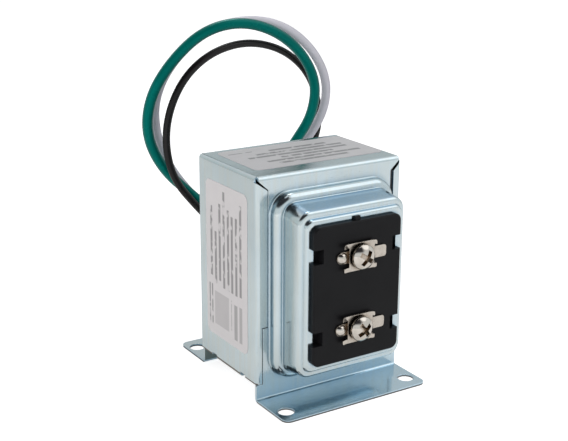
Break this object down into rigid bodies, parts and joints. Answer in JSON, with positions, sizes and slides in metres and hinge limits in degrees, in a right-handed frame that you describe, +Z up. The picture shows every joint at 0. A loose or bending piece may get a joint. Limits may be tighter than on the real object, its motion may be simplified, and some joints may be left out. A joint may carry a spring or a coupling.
{
  "type": "doorbell transformer",
  "caption": "Small mains transformer in a folded steel housing on two drilled feet, with a stepped drawn dome, a black screw terminal block and loose supply leads at the back.",
  "frame": {"origin": "on the floor, in the middle of the four foot holes", "axes": "+Z up, the screw terminals face -Y, +X is to the right as the terminals are seen"},
  "size_m": [0.0726, 0.0978, 0.1003],
  "materials": {
    "plated_steel": "bright zinc plate on cold rolled sheet",
    "core_steel": "varnished lamination steel",
    "bobbin_plastic": "moulded nylon",
    "enamelled_copper": "enamelled copper winding",
    "coil_tape": "polyester tape",
    "insulating_card": "pressed fibre card",
    "block_plastic": "satin black moulding",
    "terminal_metal": "nickel plate",
    "lug_metal": "tinned brass",
    "bushing_plastic": "moulded nylon",
    "black_insulation": "soft vinyl",
    "white_insulation": "soft vinyl",
    "green_insulation": "soft vinyl",
    "splice_plastic": "moulded nylon",
    "bare_copper": "stripped stranded copper"
  },
  "bodies": {
    "root": {"front_cover": "plated_steel", "rear_channel": "plated_steel", "core_e_stack": "core_steel", "core_i_stack": "core_steel", "bobbin": "bobbin_plastic", "primary_winding": "enamelled_copper", "secondary_winding": "enamelled_copper", "primary_tape": "coil_tape", "secondary_tape": "coil_tape", "front_card": "insulating_card", "rear_card": "insulating_card", "terminal_block": "block_plastic", "lead_bushing": "bushing_plastic", "green_lead_tail": "green_insulation", "ground_lug": "lug_metal", "ground_rivet": "terminal_metal", "upper_terminal_strip": "terminal_metal", "upper_wire_clamp": "terminal_metal", "upper_terminal_screw": "terminal_metal", "upper_terminal_rivet": "terminal_metal", "upper_solder_lug": "lug_metal", "upper_secondary_wire": "enamelled_copper", "lower_terminal_strip": "terminal_metal", "lower_wire_clamp": "terminal_metal", "lower_terminal_screw": "terminal_metal", "lower_terminal_rivet": "terminal_metal", "lower_solder_lug": "lug_metal", "lower_secondary_wire": "enamelled_copper", "black_lead_tail": "black_insulation", "black_splice": "splice_plastic", "black_primary_wire": "enamelled_copper", "white_lead_tail": "white_insulation", "white_splice": "splice_plastic", "white_primary_wire": "enamelled_copper", "black_lead": "black_insulation", "black_lead_end": "bare_copper", "white_lead": "white_insulation", "white_lead_end": "bare_copper", "green_lead": "green_insulation", "green_lead_end": "bare_copper"}
  },
  "joints": []
}
